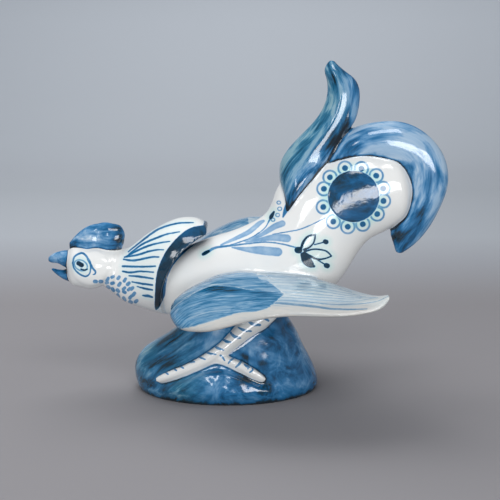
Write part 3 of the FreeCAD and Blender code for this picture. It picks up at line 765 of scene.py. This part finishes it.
halo = pen.field("ring_gap").fade(6.0, 0.0) * 0.7
haze = pen.cloud(26.0, detail=2.0).fade(-0.1, 0.4) * 0.03
colour = cobalt(pen, line.most(ring).most(pupil).most(dab).most(haze))
glost_fire(pen, colour.tint(halo, (0.72, 0.96, 0.96)))
fix_in_place(head)

# The comb. Two solid lobes modelled by hand with a crease between them, washed in cobalt with
# level strokes that turn dark where the brush was lifted at the rear.
comb = cut_casting("comb", "lobed_comb")
place = side_view(comb)[0]
swell(comb, -0.7 * blot(place, 98.5, 233, 2.4, 6, 8))
place = side_view(comb)[0]
lay_wash(
    comb, place, 0.42, (119, 240, 7, 8, 0.45), (72, 245, 6, 6, 0.42), (108, 226, 16, 4, 0.26),
    (95, 244, 22, 4, 0.14), (122, 229, 5, 7, 0.14), (84, 236, 9, 6, -0.1))
pen = new_glaze(comb, "comb_glaze")
strokes = pen.cloud(240.0, detail=4.0, stretch=(0.22, 1, 1), turn=(0, 0.12, 0))
mottle = pen.cloud(70.0)
strength = pen.field("wash") + strokes * 1.15 + mottle * 0.75 + paint_pools(pen, reach=1.8) * 0.4
glost_fire(pen, cobalt(pen, strength))
fix_in_place(comb)

# The beak. Two solid halves, open, luted to the flat front of the head and washed in dark cobalt.
for node, title, base in (("upper_beak", "beak_top", 0.52), ("lower_beak", "beak_bottom", 0.66)):
    half = cut_casting(node, title)
    place = side_view(half)[0]
    lay_wash(half, place, base, (66, 268, 3, 7, 0.3), (54, 256, 4, 3, -0.24), (62, 253, 3, 3, -0.14),
             (50, 262, 2.5, 3, 0.25))
    pen = new_glaze(half, title + "_glaze")
    mottle = pen.cloud(190.0, detail=4.0, rough=0.6, twist=0.5, stretch=(0.6, 1, 1))
    strength = pen.field("wash") + mottle * 1.05 + paint_pools(pen, reach=1.2) * 0.25
    glost_fire(pen, cobalt(pen, strength))
    fix_in_place(half)

# The wings. Solid slabs pressed in a mould, with a thick rounded outer rim, a raised lobe of short
# feathers in front and long primaries that run to an upturned tip. The near one droops and the
# far one is the same pressing, luted on higher and tipped up.
wing_lift_angle = math.radians(14)
wing_pivot = np.array([-0.041, 0.0, 0.09])
wing_rise = np.array([0.0, 0.0, 0.012])
wing_run = brush_line((168, 322, 0), (184, 308, 0), (210, 300, 0), (240, 298, 0), (275, 298, 0),
                      (310, 301, 0), (345, 302, 0), (370, 300, 0), (392, 292, 0))
ridge_stops = (
    (160, 327), (166, 317), (172, 309.6), (178.2, 303.4), (187, 297.6), (196.5, 291.8), (208.3, 286.6),
    (217.8, 285.2), (231, 286.3), (245.7, 289.4), (260.4, 290.6), (271.4, 291.8), (283.5, 293.4))
covert_paint = ridge_stops + (
    (278, 299.6), (268.6, 307.4), (256.7, 311.4), (238.4, 313), (216.4, 319.6), (194.3, 326.2), (184, 328.4),
    (176, 330.5), (160, 338))
shoulder_paint = tuple((x, y + 4.0) for x, y in ridge_stops[:-2]) + (
    (283, 296), (276, 287), (267, 280.5), (257, 275.5), (256, 250), (200, 236), (150, 270))
rim_line = [brush_line(
    (262, 308.6, 0.8), (270, 304.4, 1.1), (276, 302.9, 1.2), (295.7, 304.6, 1.3), (313.6, 306.4, 1.3),
    (331.4, 308.7, 1.1), (349.3, 309.4, 0.9), (367.1, 308.9, 0.6))]
feather_lines = brush_lines(
    ((264, 300.6, 0.3), (285, 300.4, 0.6), (310, 302.2, 0.7), (340, 304.6, 0.6), (372, 302.4, 0.5),
     (388, 296.6, 0.5)),
    ((272, 297.4, 0.3), (296, 298.2, 0.5), (322, 300.2, 0.5), (350, 301.4, 0.4), (378, 297.6, 0.4)),
    ((278, 294.6, 0.3), (300, 295.8, 0.5), (325, 297.6, 0.5), (352, 299, 0.4), (376, 297.2, 0.3)),
    ((282, 291.8, 0.3), (302, 292.8, 0.5), (326, 295, 0.5), (350, 297.4, 0.4), (368, 297.4, 0.3)),
    ((280, 288.8, 0.3), (304, 289.8, 0.6), (328, 292.4, 0.5), (350, 295.8, 0.4), (366, 296.8, 0.3)),
    ((276, 285.8, 0.3), (300, 286.4, 0.5), (322, 288.8, 0.5), (344, 292.6, 0.4), (360, 295.4, 0.3)),
    ((270, 282.6, 0.3), (296, 283.2, 0.6), (318, 285.2, 0.5), (338, 289, 0.4), (352, 292.6, 0.3)),
    ((262, 279.8, 0.3), (286, 280, 0.5), (308, 281.6, 0.5), (328, 285.2, 0.4), (342, 289, 0.3)))
top_line = [brush_line(
    (250, 276.2, 0.9), (264, 276, 1.5), (286.8, 276.8, 1.6), (309, 278.4, 1.3), (322.5, 281.4, 0.7))]


def unlift_wing(points, normals):
    """Brings the lifted far wing back to the place where its mirror image would be the near wing."""
    turn = np.array([[math.cos(wing_lift_angle), 0, math.sin(wing_lift_angle)], [0, 1, 0],
                     [-math.sin(wing_lift_angle), 0, math.cos(wing_lift_angle)]])
    return (points - wing_pivot - wing_rise) @ turn.T + wing_pivot, normals @ turn.T


for node, title, unlift in (("left_wing", "near_wing", None), ("right_wing", "far_wing", unlift_wing)):
    wing = cut_casting(node, title)
    place, facing = side_view(wing, unlift)
    step = 0.7 * np.clip(0.5 - lay_patch(place, *covert_paint) / 3.0, 0, 1)
    swell(wing, step * np.clip(facing * 2, 0, 1))
    keep_brushwork(wing, 1.5, {"line_gap": feather_lines, "rim_gap": rim_line + top_line}, unlift=unlift)
    place, facing = side_view(wing, unlift)
    write_field(wing, "covert_gap", lay_patch(place, *covert_paint))
    write_field(wing, "shoulder_gap", lay_patch(place, *shoulder_paint))
    write_field(wing, "upper", np.maximum(facing, read_field(wing, "soft_normal", 3)[:, 2] - 0.15))
    lay_wash(
        wing, place, 0.49, (226, 290, 36, 4.5, 4, 0.3), (268, 294, 14, 4, 0.14), (200, 314, 22, 5, -14, -0.1),
        (174, 312, 3, 12, 20, 0.12), (187, 299, 10, 3, -32, 0.1))
    # The primaries' wash, thinner on the lower rim; what is left on the rim is partly painted shade.
    pale = 0.2 + 0.08 * blot(place, 300, 280, 40, 6, 8) - 0.11 * np.clip((place[:, 1] - 303) / 5, 0, 1)
    pale -= 0.1 * np.clip((place[:, 0] - 350) / 30, 0, 1)
    write_field(wing, "pale", pale)
    # Painted shade: a grey tint over the lower rim of the wing, which faces down.
    low_rim = np.clip((place[:, 1] - 300) / 6, 0, 1) * np.clip((385 - place[:, 0]) / 20, 0, 1)
    write_field(wing, "low_rim", low_rim)
    keep_flow(wing, *lay_line(place, wing_run, reach=200.0)[1:], 0.45)
    pen = new_glaze(wing, title + "_glaze")
    flow = pen.field("flow", out=1)
    streak = pen.cloud(0.55, detail=4.0, rough=0.6, place=flow, stretch=(0.06, 1.3, 1.0))
    brush = pen.cloud(0.16, place=flow, stretch=(0.16, 1.2, 1.0))
    wobble = pen.cloud(330.0, detail=2.0) * 0.6
    tone = pen.cloud(120.0, detail=4.0)
    top = pen.field("upper").fade(-0.05, 0.22)
    brushed_edge = pen.field("covert_gap") + wobble + streak * 5.0
    covert = brushed_edge.fade(0.9, -0.9) * (pen.field("wash") + streak * 0.85 + brush * 0.5)
    shoulder = pen.stroke("shoulder_gap", brush * 2.0, 0.8, 0.44 + streak * 0.85 + brush * 0.55)
    primaries = (pen.field("pale") + streak * 0.26 + brush * 0.1).most(0.0)
    lines = pen.stroke("line_gap", wobble + streak * 1.6, 0.4, 0.36 + streak * 0.6)
    rim = pen.stroke("rim_gap", wobble, 0.5, 0.36 + tone * 0.4)
    # A faint film of cobalt over the whole wing, partly its own tint and partly painted shade for the lower
    # rim.
    bare = pen.cloud(30.0, detail=2.0).fade(-0.1, 0.4) * 0.04 + 0.075
    outside = brushed_edge.fade(-0.9, 0.9)
    strength = covert.most(outside * primaries.most(shoulder).most(lines).most(rim)) * top
    strength = strength.most(bare)
    feather_grooves = pen.field("line_gap").fade(1.6, -0.2) * -1.0 * top * outside
    # The lower rim is tinted grey as painted shade; the warm tint over the upper faces dulls the cobalt itself.
    low_rim = outside * pen.field("low_rim")
    dulled_and_rim_shaded = cobalt(pen, strength).tint(top, (1.0, 0.93, 0.84)).tint(low_rim, (0.76, 0.74, 0.74))
    glost_fire(pen, dulled_and_rim_shaded, relief=feather_grooves, relief_depth=0.25)
    fix_in_place(wing)

# The tail plume. A leaf-shaped feather modelled solid and saddled over the rump, washed with long
# strokes of cobalt that follow it up to the tip and pool dark along its rear edge.


def flow_strokes(pen, fine, broad):
    """Fine streaks (scale, stretch, roughness) and broad marks (scale, stretch) along a feather."""
    flow = pen.field("flow", out=1)
    return (pen.cloud(fine[0], detail=5.0, rough=fine[2], place=flow, stretch=(fine[1], 1, 1)),
            pen.cloud(broad[0], detail=4.0, twist=0.5, place=flow, stretch=(broad[1], 1.2, 1)))


plume_spine = brush_line(
    (283, 206, 0), (287, 188, 0), (296, 170, 0), (310, 154, 0), (324, 139, 0), (335, 123, 0),
    (342, 106, 0), (343.5, 92, 0), (340, 78, 0), (334, 66, 0), (331, 58, 0))
plume = cut_casting("tail_plume", "upright_plume")
place = side_view(plume)[0]
along, across = lay_line(place, plume_spine, reach=60.0)[1:]
swell(plume, 1.1 * np.exp(-((across + 3.0) / 7.0) ** 2) - 0.5 * np.exp(-((across - 8.0) / 5.0) ** 2))
place = side_view(plume)[0]
along, across = lay_line(place, plume_spine, reach=60.0)[1:]
# Painted highlight: the blots lifted at (346, 88) and (353, 108), at the tip and along the right edge, lighten
# the wash where the glaze shines.
lay_wash(
    plume, place, 0.5 + 0.005 * np.clip(across, -14, 14),
    (334, 88, 5, 18, 0.3), (325, 120, 12, 14, -50, 0.14), (344, 122, 7, 16, 20, 0.18),
    (340, 137, 6, 22, 40, 0.28), (298, 168, 12, 10, -0.1), (292, 160, 5, 14, 30, 0.16),
    (346, 88, 6, 16, -0.24), (287, 207, 4, 9, 20, 0.3), (326, 132, 6, 16, 40, 0.06),
    (303, 148, 5, 14, 40, 0.24), (285, 172, 4, 16, 20, 0.3), (312, 142, 3, 16, 42, -0.1),
    (353, 108, 4, 16, -4, -0.16))
keep_flow(plume, along, across, 0.7)
write_field(plume, "flow_side", np.clip(across, -12, 12))
pen = new_glaze(plume, "plume_glaze")
streak, brush = flow_strokes(pen, (0.3, 0.08, 0.6), (0.085, 0.3))
strength = pen.field("wash") + streak * 1.15 + brush * 1.45 + paint_pools(pen, reach=3.2) * 0.75
green = (0.36 - pen.field("flow_side") * 0.03 + pen.cloud(30.0) * 1.2).least(0.8).most(0.0)
glost_fire(pen, cobalt(pen, strength.most(0.37 + streak * 0.2)).tint(green, (0.95, 0.95, 0.7)))
fix_in_place(plume)

# The sickle crest. A hooked crescent modelled round the rim of the tail lobe, washed in cobalt with
# strokes that follow its bend and darker towards the hook, lifted paler over the top as a painted highlight.
crest_spine = brush_line(
    (340, 160, 0), (350, 146, 0), (368, 137, 0), (390, 134.5, 0), (410, 139, 0), (424, 150, 0),
    (431, 166, 0), (431, 186, 0), (425, 206, 0), (414, 225, 0), (402, 241, 0), (395, 253, 0))
crest = cut_casting("tail_crest", "sickle_crest")
place = side_view(crest)[0]
along, across = lay_line(place, crest_spine, reach=60.0)[1:]
# Painted highlight: the blot lifted at (400, 143) over the top of the crest.
lay_wash(
    crest, place, 0.41 + 0.08 * np.cos(across / 5.0),
    (427, 180, 5, 16, 8, 0.3), (355, 146, 12, 7, -20, 0.22), (396, 236, 8, 7, 0.26),
    (400, 240, 9, 13, 30, 0.26), (436, 200, 6, 30, 16, -0.15), (400, 143, 28, 11, 10, -0.36),
    (420, 215, 5, 10, 30, 0.14), (366, 132, 12, 3, -8, 0.24), (344, 150, 4, 10, 40, 0.2),
    (415, 152, 8, 4, 20, 0.2), (398, 225, 3, 14, 35, 0.14), (440, 160, 6, 20, 4, 0.1))
keep_flow(crest, along, across, 0.7)
pen = new_glaze(crest, "crest_glaze")
streak, brush = flow_strokes(pen, (0.26, 0.09, 0.58), (0.075, 0.42))
strength = pen.field("wash") + streak * 0.9 + brush * 1.3 + paint_pools(pen, reach=2.8) * 0.55
glost_fire(pen, cobalt(pen, strength.most(0.27 + streak * 0.2)))
fix_in_place(crest)

# The studio. A sweep of pale grey paper under and behind the figure, soft boxes above and to the
# sides, and the camera a metre away, a little above the bird.
paper = bmesh.new()
sweep_radius = 0.55
sweep_start = 1.1
# The paper's grey is graded as painted shade: darkest on the floor under and in front of the figure, lighter
# towards the back and up the sweep.
paper_shade_stops = (
    (0.125, (0.222, 0.216, 0.225)), (0.148, (0.231, 0.227, 0.237)), (0.22, (0.28, 0.29, 0.313)),
    (0.29, (0.335, 0.355, 0.382)), (0.465, (0.352, 0.375, 0.402)), (0.56, (0.405, 0.429, 0.462)),
    (0.64, (0.432, 0.462, 0.497)), (0.755, (0.466, 0.498, 0.536)), (0.9, (0.52, 0.556, 0.598)))
profile = [(-2.6, 0.0), (sweep_start, 0.0)]
for number in range(1, 25):
    turn = math.pi / 2 * number / 24
    profile.append((sweep_start + sweep_radius * math.sin(turn), sweep_radius * (1 - math.cos(turn))))
profile.append((sweep_start + sweep_radius, 2.6))
rows = [[paper.verts.new((x, y, z)) for x in (-4.0, 4.0)] for y, z in profile]
for lower, upper in zip(rows, rows[1:]):
    paper.faces.new((lower[0], lower[1], upper[1], upper[0]))
sweep_mesh = bpy.data.meshes.new("paper_sweep")
paper.to_mesh(sweep_mesh)
paper.free()
sweep_mesh.shade_smooth()
sweep = set_out("paper_sweep", sweep_mesh)
pen = new_glaze(sweep, "grey_paper")
fibre = pen.cloud(900.0, detail=2.0) * 0.02 + 1.0
spot = pen.node("SeparateXYZ", {}, {0: pen.node("TexCoord", out=3)}, out=1)
spot = (spot + pen.node("SeparateXYZ", {}, {0: pen.node("TexCoord", out=3)}, out=2)) * 0.5
# Painted shade: the grey follows the graded stops by depth and height on the paper.
grey = pen.node("ValToRGB", {"stops": paper_shade_stops}, {"Fac": spot})
grey = pen.node("Mix", {"data_type": "RGBA", "blend_type": "MULTIPLY"}, {0: 1.0, 6: grey, 7: fibre}, out=2)
shader = pen.node("BsdfPrincipled", {}, {"Base Color": grey, "Roughness": 0.85, "Specular IOR Level": 0.2})
pen.node("OutputMaterial", {}, {"Surface": shader})

aim = Vector(view_middle.tolist())
for title, spot, size, power, mirrored in (
        ("right_window", (0.6, -1.15, 0.2), (0.72, 0.38), 6.6, True),
        ("left_window", (-0.14, -1.25, 0.52), (0.16, 0.3), 1.0, True),
        ("high_window", (0.25, -0.75, 1.05), (0.5, 0.34), 3.1, True),
        ("left_box", (-0.8, -0.95, 0.42), (0.8, 0.6), 5.2, False),
        ("front_box", (-0.3, -1.2, 0.75), (0.7, 0.5), 3.4, False),
        ("top_box", (-0.3, 0.62, 1.28), (1.3, 0.9), 20.0, False)):
    lamp = bpy.data.lights.new(title, "AREA")
    lamp.shape = "RECTANGLE"
    lamp.size, lamp.size_y = size
    lamp.energy = power
    box = set_out(title, lamp)
    box.location = spot
    box.visible_glossy = mirrored
    box.rotation_euler = (aim - Vector(spot)).to_track_quat("-Z", "Y").to_euler()
world = bpy.data.worlds.new("studio_air")
world.use_nodes = True
world.node_tree.nodes["Background"].inputs["Color"].default_value = (0.86, 0.9, 1.0, 1)
world.node_tree.nodes["Background"].inputs["Strength"].default_value = 0.3
bpy.context.scene.world = world
bpy.context.scene.view_settings.view_transform = "Standard"

lens = bpy.data.cameras.new("camera")
lens.sensor_width = 36.0
lens.lens = 36.0 * view_distance / view_step / 500
lens.clip_end = 20.0
camera = set_out("camera", lens)
back = Vector((0.0, -math.cos(view_tilt), math.sin(view_tilt)))
camera.location = aim + back * view_distance
camera.rotation_euler = back.to_track_quat("Z", "Y").to_euler()
bpy.context.scene.camera = camera
